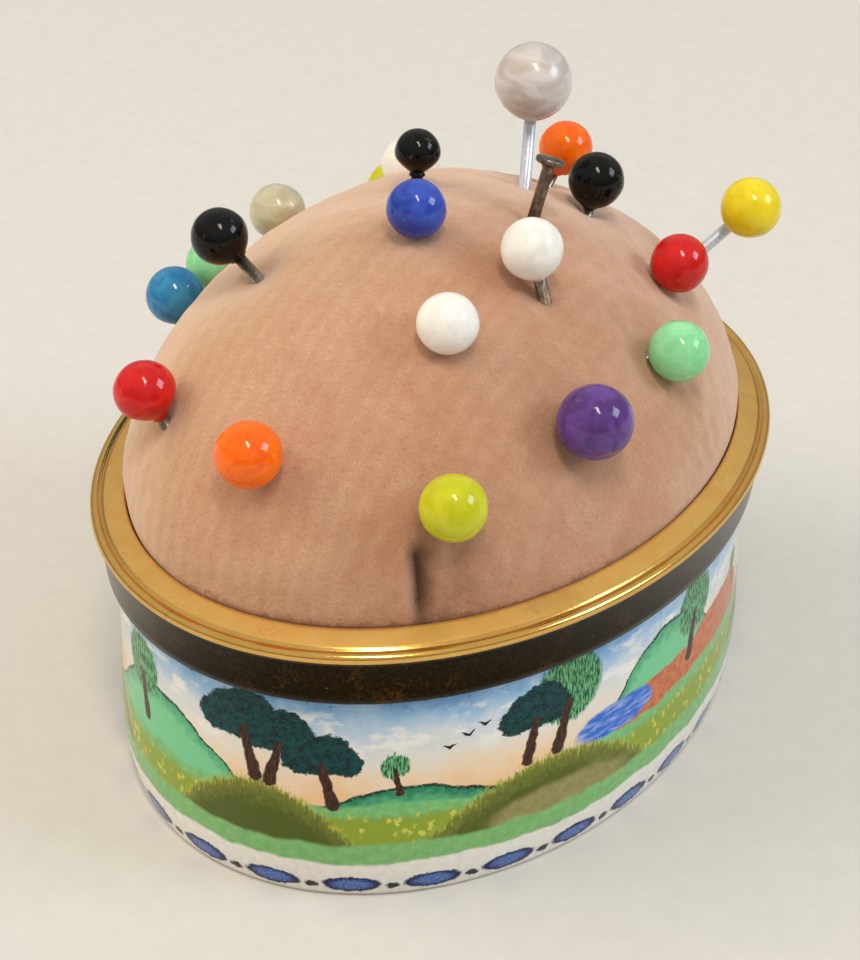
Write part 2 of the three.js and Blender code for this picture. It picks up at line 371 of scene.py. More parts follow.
def make_cup():
    inner = [(r - WALL_THICKNESS, max(z, WALL_THICKNESS)) for r, z in WALL_OUTLINE if z > FOOT_ROUNDING]
    profile = [(0, 0)] + [(r, 0.0) for r in FLOOR_RINGS] + WALL_OUTLINE + inner[::-1]
    profile += [(r, WALL_THICKNESS) for r in reversed(FLOOR_RINGS)] + [(0, WALL_THICKNESS)]
    piece = oval_mesh("painted_enamel_cup", profile, None)
    arc = oval_arc()
    mesh = piece.data
    layer = mesh.uv_layers.new(name="painting")
    count = len(profile) - 2
    for polygon in mesh.polygons:
        columns = [mesh.loops[i].vertex_index // count for i in polygon.loop_indices]
        columns = [c if c < OVAL_COLUMNS else min(columns) for c in columns]
        wraps = max(columns) - min(columns) > 1
        on_left = max(columns) > OVAL_COLUMNS / 2 and not (wraps and min(columns) > 0)
        for i, column in zip(polygon.loop_indices, columns):
            column = OVAL_COLUMNS if wraps and column == 0 else column
            height = mesh.vertices[mesh.loops[i].vertex_index].co.z / MM
            # The left side counts down from the front end, so that the painting's seam is at the back.
            around = arc[column] - (arc[-1] if on_left else 0)
            layer.data[i].uv = (around / PERIMETER, height / PERIMETER)
    mesh.materials.append(enamel_material())
    return add_piece(piece, "box", "painted_enamel", "enamel_coat")


def from_front(around):
    """A distance round the wall, as the painting counts it: below zero on the left side."""
    return around - PERIMETER if around > PERIMETER / 2 else around


class Painting:
    """Coats of colour laid one over another on the wall, at (around, height) in millimetres."""

    def __init__(self, m):
        self.m = m
        plan = m.node("UVMap", settings={"uv_map": "painting"})
        self.plan = m.stretched(plan, (PERIMETER, PERIMETER, 0))
        self.height = m.along("Y", self.plan)
        self.around = m.along("X", self.plan)
        self.brush = m.noise(self.plan, 2.2, 4)
        self.fine = m.noise(self.plan, 7, 3)
        # The edges stray less and less towards the back end, where the painting meets itself.
        from_seam = m.minus(PERIMETER / 2, m.size_of(self.around))
        self.calm = m.fade(from_seam, 0, 3)
        strands = m.stretched(self.plan, (1, 0.22, 1))
        self.strands = m.noise(strands, 9, 2)
        self.ragged = self.shifted(m.noise(self.plan, 3.2, 4, 0.7, colour=True), (0.75, 0.75, 0))
        self.steady = self.shifted(m.noise(self.plan, 1.6, 3, colour=True), (0.4, 0.3, 0))
        self.soft = self.shifted(m.noise(self.plan, 0.35, 3, colour=True), (1.2, 1.0, 0))
        self.hairy = self.shifted(m.noise(strands, 8, 2, colour=True), (0.12, 1.1, 0))
        self.colour = None

    def shifted(self, noise_colour, amount):
        centred = self.m.vector_math("SUBTRACT", noise_colour, (0.5, 0.5, 0.5))
        strayed = self.m.stretched(centred, amount)
        strayed = self.m.scaled(strayed, self.calm)
        return self.m.vector_math("ADD", self.plan, strayed)

    def tone(self, first, second, grain=None):
        grain = self.brush if grain is None else grain
        share = self.m.fade(grain, 0.35, 0.65)
        return self.m.mix(share, first, second)

    def oval(self, where, centre, size):
        """The distance from an oval's centre, 1 at its edge."""
        moved = self.m.vector_math("SUBTRACT", where, (from_front(centre[0]), centre[1], 0))
        scaled = self.m.vector_math("DIVIDE", moved, (*size, 1))
        return self.m.vector_math("LENGTH", scaled, output=1)

    def stroke(self, where, start, end, start_width, end_width):
        """The distance from a tapered brush stroke, 1 at its edge."""
        start, end = (Vector((from_front(around), height, 0)) for around, height in (start, end))
        run = end - start
        moved = self.m.vector_math("SUBTRACT", where, start)
        share = self.m.vector_math("DOT_PRODUCT", moved, run / run.length_squared, output=1)
        share = self.m.math("ADD", share, 0.0, clamp=True)
        nearest = self.m.scaled(run, share)
        away = self.m.vector_math("LENGTH", self.m.vector_math("SUBTRACT", moved, nearest), output=1)
        width = self.m.math("MULTIPLY_ADD", share, end_width - start_width, start_width)
        return self.m.over(away, width)

    def hill(self, where, centre, half_width, top, drop):
        """How far a point lies above a hill's outline: the hill drops by drop at half_width from its top."""
        around = self.m.along("X", where)
        height = self.m.along("Y", where)
        aside = self.m.over(self.m.minus(around, from_front(centre)), half_width)
        fall = self.m.times(self.m.times(aside, aside), drop)
        return self.m.minus(self.m.plus(height, fall), top)

    def level(self, where, top):
        """How far a point lies above a height that is the same all the way round."""
        return self.hill(where, 0, 1000, top, 0)

    def nearest(self, distances):
        """The least of some distances. A generator makes each one's nodes just before they are used."""
        found = None
        for other in distances:
            found = other if found is None else self.m.math("MINIMUM", found, other)
        return found

    def inside(self, distance, edge, softness):
        return self.m.fade(distance, edge - softness, edge + softness, 1.0, 0.0)

    def coat(self, share, colour):
        self.colour = self.m.mix(share, self.colour, colour)


# The painted scene is a plain pastoral one, made up for this part. Places are (around, height), from the
# front end towards +X. The same kinds of tree and hill come again round the back.
# A mound or hill is (centre, half width, top, drop), and a tree is (middle of its crown, size).
MOUNDS = [(1.5, 3.6, 7.0, 1.7), (17.2, 6.0, 6.9, 2.3), (41, 5, 6.6, 2.0), (66.2, 6.4, 7.2, 2.6),
          (83, 5, 6.8, 2.0), (103, 5.5, 6.9, 2.2)]
FAR_HILLS = [(9.5, 6.5, 7.2, 2.0), (26.5, 5.6, 10.8, 3.4), (50, 7, 8.8, 2.8), (72, 6, 9.4, 3.0),
             (94, 7, 8.6, 2.6), (113, 6, 9.6, 3.2)]
DARK_TREES = [((0.7, 10.8), 2.2), ((2.7, 10.3), 1.9), ((4.9, 9.2), 1.8), ((16.3, 10.3), 1.9),
              ((42.2, 10.6), 1.9), ((44.2, 10.0), 1.5), ((64.6, 10.4), 2.1), ((67.2, 11.0), 1.7),
              ((84.4, 9.9), 1.8), ((101.2, 10.6), 2.0), ((103.6, 10.0), 1.6)]
LIGHT_TREES = [((18.3, 10.7), 2.2), ((8.6, 8.6), 0.75), ((29.2, 10.4), 1.9), ((36.2, 9.0), 0.8),
               ((53.5, 9.8), 1.2), ((76.5, 9.2), 0.9), ((82.4, 10.4), 1.6), ((111.2, 10.0), 1.8)]
LAKES = [(21.9, 7.3), (47.5, 6.4), (88.5, 6.6)]
CLAY_FIELDS = [(26.3, 6.3), (33.0, 7.0), (53.4, 6.2), (72.5, 6.0), (96.5, 6.4)]
BIRDS = [(11.4, 9.3), (13.3, 10.3), (12.4, 9.9), (48.6, 10.6), (50.2, 10.1), (91.0, 10.4), (92.4, 9.8)]
# The sky's colours, by height on the wall.
SKY = [(6.0, (232, 172, 108)), (7.6, (238, 190, 138)), (9.2, (236, 212, 182)), (10.6, (226, 222, 214)),
       (12.0, (202, 214, 226)), (13.2, (150, 190, 224)), (14.6, (92, 146, 204))]
MEADOW_TOP, DABS_TOP, GRASS_TOP, FOOT_TOP = 6.2, 5.5, 3.7, 2.45


def paint_sky(p):
    m = p.m
    wander = m.math("MULTIPLY_ADD", m.noise(p.plan, 0.45, 3), 3.0, -1.5)
    level = m.plus(p.height, m.math("MULTIPLY_ADD", p.calm, wander, 1.5))
    ramp = m.tree.nodes.new("ShaderNodeValToRGB")
    low, high = SKY[0][0], SKY[-1][0]
    elements = ramp.color_ramp.elements
    while len(elements) < len(SKY):
        elements.new(0.5)
    for element, (height, colour) in zip(elements, SKY):
        element.position = (height - low) / (high - low)
        element.color = srgb(*colour)
    m.set(ramp.inputs[0], m.fade(level, low, high, smooth=False))
    p.colour = ramp.outputs[0]
    billows = m.noise(m.stretched(p.plan, (0.55, 1, 1)), 0.75, 5, 0.6)
    band = m.times(m.fade(p.height, 8.2, 9.8), m.fade(p.height, 12.6, 11.2))
    share = m.times(m.fade(billows, 0.5, 0.62), band)
    p.coat(m.times(share, 0.85), (238, 236, 230))


def paint_far_country(p):
    m = p.m
    shades = (((20, 116, 84), (96, 184, 132)), ((70, 160, 118), (118, 200, 148)))
    for kind, (deep, pale) in enumerate(shades):
        above = p.nearest(p.hill(p.soft, *hill) for hill in FAR_HILLS[kind::2])
        lit = m.fade(m.plus(above, m.times(p.brush, 1.6)), -0.6, 0.9)
        p.coat(p.inside(above, 0, 0.05), m.mix(lit, pale, deep))
        hedge = m.size_of(m.plus(above, m.times(p.fine, 0.12)))
        broken = m.fade(p.fine, 0.4, 0.5)
        p.coat(m.times(p.inside(hedge, 0.1, 0.03), broken), (26, 40, 26))
    clay = p.nearest(p.oval(p.soft, place, (4.6, 1.9)) for place in CLAY_FIELDS)
    p.coat(p.inside(clay, 1, 0.04), p.tone((186, 96, 56), (206, 122, 76)))
    lakes = p.nearest(p.oval(p.soft, place, (2.9, 1.0)) for place in LAKES)
    ripples = m.noise(m.stretched(p.plan, (0.5, 2.2, 1)), 1.6, 3)
    water = m.mix(m.fade(ripples, 0.4, 0.7), (44, 106, 206), (150, 172, 226))
    p.coat(p.inside(lakes, 1, 0.08), water)


def paint_near_country(p):
    m = p.m
    meadow = p.level(p.soft, MEADOW_TOP)
    p.coat(p.inside(meadow, 0, 0.12), p.tone((110, 178, 112), (128, 192, 124)))
    fringe = p.level(p.hairy, DABS_TOP)
    dabs = m.node("TexVoronoi", Vector=m.stretched(p.ragged, (1, 0.6, 1)), Scale=2.4)
    meadow_dabs = m.mix(m.fade(dabs, 0.16, 0.4), (206, 204, 84), (140, 160, 52))
    p.coat(p.inside(fringe, 0, 0.3), meadow_dabs)
    above = p.nearest(p.hill(p.hairy, *mound) for mound in MOUNDS)
    shaded = m.fade(m.plus(above, m.times(p.brush, 2.2)), -0.6, 1.0)
    colour = m.mix(shaded, (80, 92, 28), (116, 122, 46))
    colour = m.mix(m.fade(p.strands, 0.52, 0.64, 0, 0.5), colour, (84, 94, 34))
    p.coat(p.inside(above, 0, 0.12), colour)
    sunlit = m.times(p.inside(m.size_of(above), 0.3, 0.2), m.fade(p.strands, 0.45, 0.6))
    p.coat(m.times(sunlit, 0.8), (176, 182, 70))
    earth = p.nearest(
        p.oval(p.soft, (centre + 0.8, 3.9), (half_width * 0.75, 1.3))
        for centre, half_width, _, _ in MOUNDS[1::2]
    )
    p.coat(p.inside(earth, 1, 0.2), p.tone((138, 132, 82), (152, 144, 92)))
    grass = p.level(p.soft, GRASS_TOP)
    p.coat(p.inside(grass, 0, 0.16), p.tone((118, 174, 108), (132, 186, 118)))


# A dark crown's clumps of leaves, as shares of its size: aside, up, wide and high.
CLUMPS = [(0, 0, 1, 0.66), (-0.62, -0.2, 0.58, 0.46), (0.64, -0.24, 0.54, 0.42), (0.18, 0.34, 0.62, 0.42)]


def paint_trees(p):
    m = p.m
    weeping = p.nearest(p.oval(p.hairy, centre, (size, 0.95 * size)) for centre, size in LIGHT_TREES)
    leaves = m.mix(m.fade(p.strands, 0.42, 0.58), (22, 84, 56), (108, 176, 122))
    p.coat(p.inside(weeping, 1, 0.08), leaves)
    crowns = (
        p.oval(p.ragged, (around + aside * size, height + up * size), (wide * size, high * size))
        for (around, height), size in DARK_TREES
        for aside, up, wide, high in CLUMPS
    )
    crown = p.inside(p.nearest(crowns), 1, 0.05)
    touched = m.fade(p.fine, 0.5, 0.66, 0, 0.55)
    leaves = m.mix(m.fade(p.brush, 0.36, 0.64), (0, 30, 36), (0, 66, 68))
    p.coat(crown, m.mix(touched, leaves, (4, 92, 92)))
    forks = [((around, height - 0.35 * size), size) for (around, height), size in DARK_TREES + LIGHT_TREES]
    trunks = (
        p.stroke(p.steady, (around + 0.3 * size * (-1) ** i, height - 0.4 * size - 1.2 * math.sqrt(size)),
                 (around, height), 0.12 + 0.13 * size, 0.06 + 0.07 * size)
        for i, ((around, height), size) in enumerate(forks)
    )
    p.coat(p.inside(p.nearest(trunks), 1, 0.15), p.tone((40, 22, 16), (78, 46, 30), p.strands))
    wings = (
        p.stroke(p.steady, (around, height), (around + side * 0.34, height + 0.2), 0.1, 0.03)
        for around, height in BIRDS
        for side in (-1, 1)
    )
    p.coat(p.inside(p.nearest(wings), 1, 0.25), (30, 34, 30))


def paint_foot(p):
    m = p.m
    white = p.tone((226, 222, 214), (234, 231, 224))
    p.coat(p.inside(p.level(p.soft, FOOT_TOP), 0, 0.1), white)
    spacing = PERIMETER / DASHES
    share = m.math("FRACT", m.over(p.around, spacing))
    centred = m.times(m.minus(share, 0.5), spacing)
    waver = m.stretched(m.vector_math("SUBTRACT", p.ragged, p.plan), (0.7, 0.6, 0))
    place = m.vector_math("ADD", m.node("CombineXYZ", centred, p.height), waver)
    dash = p.oval(place, (0, 0.98), (1.42, 0.52))
    p.coat(p.inside(dash, 1.08, 0.1), (18, 26, 84))
    p.coat(m.times(p.inside(dash, 0.72, 0.25), 0.85), p.tone((58, 96, 176), (112, 142, 196), p.fine))
    wrapped = m.minus(m.size_of(centred), spacing / 2)
    between = m.vector_math("ADD", m.node("CombineXYZ", wrapped, p.height), waver)
    p.coat(p.inside(p.oval(between, (0, 0.85), (0.36, 0.24)), 1, 0.25), (40, 44, 48))


def enamel_material():
    m = Material("painted_enamel", Roughness=0.16)
    p = Painting(m)
    paint_sky(p)
    paint_far_country(p)
    paint_near_country(p)
    paint_trees(p)
    soot = m.fade(m.noise(p.plan, 3.4, 2), 0.66, 0.7)
    p.coat(m.times(soot, m.fade(p.height, 11.2, 12.9)), (34, 30, 26))
    paint_foot(p)
    # Under the foot the enamel is plain.
    here = m.millimetres()
    normal_up = m.along("Z", m.node("NewGeometry", output=1))
    underside = m.fade(normal_up, -0.6, -0.8)
    p.coat(underside, m.mix(m.noise(here, 1.2, 4), (214, 208, 196), (228, 224, 214)))
    m.look(Base_Color=p.colour, Roughness=m.fade(m.noise(here, 1.1, 4), 0.3, 0.7, 0.1, 0.22))
    m.look(Specular_IOR_Level=0.2, Coat_Weight=0.06, Coat_Roughness=0.04)
    m.bump(m.plus(p.brush, m.times(p.fine, 0.4)), 0.035, 0.5)
    return m.material


# -------- the gilt rim

BAND_BOTTOM = RIM_LOW.z
BAND_TAPER = 0.55
BAND_THICKNESS = 0.45
BEAD_RADIUS = 0.3
BEAD_TOP = LIP_TOP - 0.4
LIP_EDGE = 20.6
LIP_THICKNESS = 0.4
LIP_STEPS = 6


def arc_points(centre, radius, start, end, steps):
    """Points on an arc from start to end degrees, as (half length, height)."""
    points = []
    for i in range(steps + 1):
        angle = math.radians(start + (end - start) * i / steps)
        points.append((centre[0] + radius * math.cos(angle), centre[1] + radius * math.sin(angle)))
    return points


def make_rim():
    bead = (LONG_HALF - BEAD_RADIUS, BEAD_TOP - BEAD_RADIUS)
    foot = LONG_HALF - BAND_TAPER
    inside = foot - BAND_THICKNESS
    groove = (bead[0] - BEAD_RADIUS + 0.02, BEAD_TOP - 0.12)
    profile = [(inside, BAND_BOTTOM + 0.06), (inside + 0.06, BAND_BOTTOM), (foot - 0.1, BAND_BOTTOM)]
    profile += [(foot, BAND_BOTTOM + 0.1), (foot + 0.04, BAND_BOTTOM + 0.5)]
    profile += [(bead[0] - 0.06, bead[1] - 0.55), (bead[0] + 0.01, bead[1] - 0.36)]
    profile += arc_points(bead, BEAD_RADIUS, -72, 142, 12)
    profile += [groove, (groove[0] - 0.05, groove[1] + 0.03), (groove[0] - 0.12, BEAD_TOP)]
    lip_start = (groove[0] - 0.22, BEAD_TOP + 0.04)
    for i in range(LIP_STEPS + 1):
        share = i / LIP_STEPS
        rise = (LIP_TOP - 0.03 - lip_start[1]) * (0.9 * share + 0.1 * math.sin(share * math.pi / 2))
        profile.append((lip_start[0] + (LIP_EDGE + 0.1 - lip_start[0]) * share, lip_start[1] + rise))
    profile += [(LIP_EDGE + 0.02, LIP_TOP - 0.08), (LIP_EDGE, LIP_TOP - 0.2)]
    profile.append((LIP_EDGE + 0.05, LIP_TOP - 0.38))
    profile.append((inside, BEAD_TOP - LIP_THICKNESS))
    piece = oval_mesh("gilt_rim_band_and_bead", profile, gilt_material())
    return add_piece(piece, "box", "gilt_brass", "gilt_rim")


def gilt_material():
    m = Material("gilt_brass", Roughness=0.2, Metallic=1.0)
    here = m.millimetres()
    height = m.along("Z", here)
    broad = m.noise(here, 0.5, 5)
    fine = m.noise(here, 5, 4, 0.65)
    bead_foot = BEAD_TOP - 2 * BEAD_RADIUS
    is_band = m.fade(height, bead_foot + 0.1, bead_foot - 0.12)
    is_lip = m.fade(height, BEAD_TOP, LIP_TOP - 0.36)
    bright = m.mix(m.fade(broad, 0.3, 0.7), (226, 176, 92), (234, 188, 104))
    # The band is painted a near-black brown, on the same gilt as the lip: a painted dark reflection.
    band_painted_reflection = m.mix(m.fade(fine, 0.3, 0.75), (26, 19, 7), (48, 37, 16))
    colour = m.mix(is_band, bright, band_painted_reflection)
    # Grime gathers in patches on the band and in specks on the lip.
    grime = m.fade(m.plus(broad, m.times(fine, 0.6)), 0.88, 1.02)
    colour = m.mix(m.times(grime, 0.2), colour, (120, 78, 34))
    dust = m.fade(m.noise(here, 2.6, 3, 0.6), 0.72, 0.76)
    colour = m.mix(m.times(dust, m.times(is_band, 0.7)), colour, (176, 164, 138))
    m.look(Base_Color=colour)
    # The lip has a satin wear that the bead, which fingers rub, has lost.
    rough = m.fade(fine, 0.3, 0.75, 0.12, 0.18)
    rough = m.plus(rough, m.times(is_band, 0.1))
    rough = m.plus(rough, m.times(is_lip, 0.24))
    m.look(Roughness=rough, Metallic=m.minus(1.0, m.times(is_lip, 0.25)))
    m.bump(m.plus(fine, m.times(broad, 0.5)), 0.005, 0.5)
    return m.material


# -------- the pins, as the frame has them


class Pin:
    """Where a pin's axis, point, head and shank are, read from the frame."""

    def __init__(self, joint):
        self.name = joint["child"]
        self.axis = Vector(joint["axis"]).normalized()
        members = frame["record"]["behaviour"]["bodies"][self.name]
        self.head_node = next((n for n in members if n.endswith("_head")), None)
        self.shank_node = next(n for n in members if n != self.head_node)
        along = self.spread(self.shank_node)
        self.point = along[0][1]
        self.shank_top = along[-1][0]
        self.shank_radius = max(self.aside(v) for _, v in along[len(along) // 2: -1])
        self.bare_level = self.shank_top
        if self.head_node:
            head = self.spread(self.head_node)
            self.bare_level, self.top_level = head[0][0], head[-1][0]
            self.radius = (self.top_level - self.bare_level) / 2

    def spread(self, node):
        """The node's vertices in order along the axis, as (distance along, place)."""
        found = [v.co / MM for v in nodes[node].data.vertices]
        return sorted(((v.dot(self.axis), v) for v in found), key=lambda pair: pair[0])

    def at(self, level):
        return self.point + (level - self.point.dot(self.axis)) * self.axis

    def aside(self, place):
        return (place - self.at(place.dot(self.axis))).length

    def turned(self, name, profile, sides, material, uneven=0.0, squash=1.0):
        """A closed profile of (radius, level) from the bottom to the top, turned about the pin's axis."""
        right = self.axis.orthogonal().normalized()
        forward = self.axis.cross(right)
        points, faces = [], []
        for radius, level in profile[1:-1]:
            for side in range(sides):
                turn = 2 * math.pi * side / sides
                out = math.cos(turn) * right + squash * math.sin(turn) * forward
                place = self.at(level) + radius * out
                bulge = -uneven * abs(noise.noise(place * 0.55))
                points.append(place + bulge * out)
        last = (len(profile) - 3) * sides
        pairs = [(side, (side + 1) % sides) for side in range(sides)]
        for ring in range(0, last, sides):
            faces += [(ring + a, ring + b, ring + sides + b, ring + sides + a) for a, b in pairs]
        faces += [(b, a, len(points)) for a, b in pairs]
        faces += [(last + a, last + b, len(points) + 1) for a, b in pairs]
        points += [self.at(profile[0][1]), self.at(profile[-1][1])]
        return mesh_object(name, points, faces, material)


PINS = [Pin(joint) for joint in frame["joints"]]
HEAD_SIDES = 40
HEAD_RINGS = 26
SHANK_SIDES = 20
POINT_LENGTH = 2.5
NECK_RADIUS = 0.45
FLAT_PIN_RADIUS = 0.325
DISC_THICKNESS = 0.4
# These pins' shanks are painted pale bluish-white: a painted reflection of the window light, on steel like the
# rest.
PALE_PINS = ("yellow_right", "pearl_tall")

# How a head's glass strays from a ball: how long its neck is, as a share of its radius, and how it flattens.
PLAIN_HEAD = (0.08, 0.985)
HEAD_HABITS = {
    "red_left": (0.42, 0.97),
    "black_top": (0.6, 1.0),
    "black_left": (0.12, 1.0),
    "pearl_tall": (0.05, 1.0),
}


def head_profile(pin):
    """A ball drawn down to a short neck where the shank goes in."""
    neck, _ = HEAD_HABITS.get(pin.name, PLAIN_HEAD)
    centre = pin.top_level - pin.radius
    profile = [(0, pin.bare_level), (NECK_RADIUS, pin.bare_level + 0.01)]
    first_turn = math.asin(NECK_RADIUS / pin.radius) + 0.1
    for i in range(HEAD_RINGS):
        turn = first_turn + (math.pi - first_turn) * i / HEAD_RINGS
        low = max(0.0, math.cos(turn))
        radius = pin.radius * math.sin(turn) * (1 - neck * low ** 2)
        least = NECK_RADIUS * 1.02 if i == 0 else 0
        profile.append((max(radius, least), centre - pin.radius * math.cos(turn)))
    return profile + [(0, pin.top_level)]


GLASS = {
    "white_glass": ((232, 229, 222), (243, 241, 236)),
    "black_glass": ((5, 5, 5), (11, 10, 10)),
    "orange_glass": ((240, 92, 0), (250, 114, 2)),
    "red_glass": ((186, 14, 14), (212, 26, 22)),
    "mint_glass": ((128, 208, 146), (150, 222, 164)),
    "lime_glass": ((186, 188, 14), (202, 202, 34)),
    "sky_blue_glass": ((26, 108, 162), (54, 138, 184)),
    "royal_blue_glass": ((34, 58, 156), (54, 82, 184)),
    "yellow_glass": ((224, 200, 14), (236, 214, 40)),
    "purple_glass": ((78, 46, 112), (98, 62, 140)),
}
PEARLS = {
    "white_pearl": ((188, 178, 170), (212, 206, 202), (170, 160, 168)),
    "cream_pearl": ((186, 176, 142), (212, 202, 172), (150, 156, 132)),
}


def glass_material(slot):
    dull, clear = GLASS[slot]
    m = Material(slot, Roughness=0.12)
    here = m.millimetres()
    swirl = m.noise(here, 0.9, 4, 0.55, 0.8)
    colour = m.mix(m.fade(swirl, 0.32, 0.68), dull, clear)
    smear = m.fade(m.noise(here, 2.4, 4, 0.6), 0.6, 0.78)
    colour = m.mix(m.times(smear, 0.12), colour, (196, 186, 168))
    m.look(Base_Color=colour, Roughness=m.fade(smear, 0, 1, 0.09, 0.26))
    if slot != "black_glass":
        m.look(Subsurface_Weight=0.12, Subsurface_Radius=(0.6, 0.5, 0.45), Subsurface_Scale=0.6 * MM)
    m.look(Specular_IOR_Level=0.25 if slot == "black_glass" else 0.4)
    m.bump(m.plus(swirl, m.times(m.noise(here, 3.2, 3), 0.12)), 0.05, 0.35)
    return m.material


def pearl_material(slot):
    shade, light, tint = PEARLS[slot]
    m = Material(slot, Roughness=0.3)
    here = m.millimetres()
    layers = m.noise(m.stretched(here, (0.6, 0.6, 1.8)), 0.9, 4, 0.5, 0.6)
    facing = m.node("LayerWeight", 0.45, output=1)
    colour = m.mix(m.fade(layers, 0.35, 0.65), shade, light)
    # Towards its edges the pearl is painted a darker lilac grey: painted shade round its outline.
    colour = m.mix(m.times(facing, 0.55), colour, tint)
    m.look(Base_Color=colour, Roughness=m.fade(m.noise(here, 2, 3), 0.3, 0.7, 0.22, 0.36))
    m.look(Coat_Weight=0.6, Coat_Roughness=0.14, Sheen_Weight=0.25)
    m.bump(m.noise(here, 3, 3), 0.01, 0.4)
    return m.material


def steel_material(name, dull, bright, tarnish, metallic=1.0):
    m = Material(name, Roughness=0.3, Metallic=metallic)
    here = m.millimetres()
    broad = m.noise(here, 0.8, 4)
    fine = m.noise(m.stretched(here, (6, 6, 1.2)), 2.2, 3)
    colour = m.mix(m.fade(fine, 0.3, 0.7), dull, bright)
    colour = m.mix(m.fade(broad, 0.48, 0.66, 0, 0.75), colour, tarnish)
    m.look(Base_Color=colour, Roughness=m.fade(broad, 0.35, 0.7, 0.2, 0.45))
    m.bump(fine, 0.008, 0.5)
    return m.material


def shank_profile(pin):
    """A shank from its point up. The pin with no glass head ends in a flat steel disc."""
    start = pin.point.dot(pin.axis)
    radius = pin.shank_radius if pin.head_node else FLAT_PIN_RADIUS
    tip = ((0.14, 0.3), (0.24, 0.6), (0.3, 0.85))
    profile = [(0, start), (0.035, start + 0.02)]
    profile += [(wide, start + POINT_LENGTH * share) for wide, share in tip]
    profile.append((radius, start + POINT_LENGTH))
    if pin.head_node:
        return profile + [(radius, pin.shank_top), (0, pin.shank_top)]
    disc = pin.shank_radius
    under = pin.shank_top - DISC_THICKNESS
    profile += [(radius, under - 0.25), (radius + 0.1, under - 0.04)]
    profile += [(disc * 0.85, under), (disc * 0.98, under + 0.08), (disc, under + 0.2)]
    profile += [(disc * 0.96, under + 0.31), (disc * 0.8, under + 0.37), (disc * 0.3, under + DISC_THICKNESS)]
    return profile + [(0, pin.shank_top)]


def make_pins():
    plain_steel = steel_material("pin_steel", (134, 122, 106), (176, 166, 150), (98, 72, 50))
    # The pale steel is a painted reflection of the window light.
    painted_reflection_steel = steel_material("pin_steel_pale", (196, 204, 220), (222, 226, 236), (170, 174, 184), 0.35)
    dark_steel = steel_material("pin_steel_dark", (104, 98, 88), (150, 144, 130), (84, 70, 52))
    slots = {row["node"]: row["material_slot"] for row in frame["record"]["subparts"]}
    heads = {slot: glass_material(slot) for slot in GLASS}
    heads.update({slot: pearl_material(slot) for slot in PEARLS})
    for pin in PINS:
        steel = painted_reflection_steel if pin.name in PALE_PINS else plain_steel
        if pin.head_node:
            slot = slots[pin.head_node]
            squash = HEAD_HABITS.get(pin.name, PLAIN_HEAD)[1]
            head = pin.turned(pin.name + "_ball", head_profile(pin), HEAD_SIDES, heads[slot], 0.05, squash)
            add_piece(head, pin.name, slot, pin.head_node)
        else:
            steel = dark_steel
        shank = pin.turned(pin.name + "_steel", shank_profile(pin), SHANK_SIDES, steel)
        add_piece(shank, pin.name, "pin_steel", pin.shank_node)


# -------- the velvet cushion

GRID = 84  # cells across the dome
TUCK_HALF = 19.55
HEM_BOTTOM = COVER_LOW.z
HEM_THICKNESS = 0.6
HEM_EDGE = 13
CLOTH_DEPTH = 0.8
SIM_SCALE = 10  # the cloth solver works on a cushion ten times as large
SIM_FRAMES = 20
SLACK = 0.13  # how much smaller the cushion starts than it ends
SWELL_CAP = 0.36
LIP_SWELL_HEIGHT = 4.0
DIMPLE_DEPTH = 0.12
DIMPLE_RADIUS = 0.6

# The crease at the front: a short, deep fold that runs down to the lip, seen from above.
CREASE_TOP = Vector((7.6, -16.4))
CREASE_FOOT = Vector((8.4, -17.3))
CREASE_DEPTH = 0.4
CREASE_WIDTH = 0.26
BROWN_PATCH_CENTRE = Vector((9.4, -16.4))


def disc_grid(cells):
    """A square grid bent into a disc of radius 1, row by row, so that its cells stay even."""
    plan = []
    for j in range(cells + 1):
        for i in range(cells + 1):
            a, b = 2 * i / cells - 1, 2 * j / cells - 1
            if a == 0 and b == 0:
                plan.append((0.0, 0.0))
                continue
            if abs(a) > abs(b):
                radius, turn = a, math.pi / 4 * b / a
            else:
                radius, turn = b, math.pi / 2 - math.pi / 4 * a / b
            plan.append((radius * math.cos(turn), radius * math.sin(turn)))
    return plan


def grid_faces(cells, start=0, flipped=False):
    faces = []
    for j in range(cells):
        for i in range(cells):
            a = start + j * (cells + 1) + i
            face = (a, a + 1, a + cells + 2, a + cells + 1)
            faces.append(face[::-1] if flipped else face)
    return faces


def grid_border(cells):
    """The grid's edge vertices in order, anticlockwise from the first corner."""
    row = cells + 1
    border = list(range(cells))
    border += [j * row + cells for j in range(cells)]
    border += [cells * row + i for i in range(cells, 0, -1)]
    border += [j * row for j in range(cells, 0, -1)]
    return border


def dome_place(plan, half, height):
    """A point of the unit disc, carried to the leaning dome."""
    reach = min(1.0, math.hypot(*plan))
    outness = math.sin(reach * math.pi / 2)
    grow = outness / reach if reach > 1e-9 else math.pi / 2
    x, y = plan[0] * grow * (half - OVAL_DIFFERENCE), plan[1] * grow * half
    rise = math.sqrt(max(0.0, 1 - outness ** DOME_POWER))
    shift = 1 - outness * outness
    slope = DOME_SLOPE[0] * x / (half - OVAL_DIFFERENCE) + DOME_SLOPE[1] * y / half
    return Vector((
        x + DOME_LEAN[0] * shift,
        y + DOME_LEAN[1] * shift,
        DOME_BASE + height * rise * (1 + slope),
    ))


def dome_surface(half, height, cells=GRID):
    return [dome_place(plan, half, height) for plan in disc_grid(cells)]


def clamped(value):
    return min(1.0, max(0.0, value))


def belt(upper, lower):
    """Faces between two rings of vertices."""
    count = len(upper)
    return [(upper[k], lower[k], lower[(k + 1) % count], upper[(k + 1) % count]) for k in range(count)]


def outline_ring(half, height, plan_border):
    ring = []
    for x, y in plan_border:
        turn = math.atan2(y, x)
        ring.append(Vector(((half - OVAL_DIFFERENCE) * math.cos(turn), half * math.sin(turn), height)))
    return ring


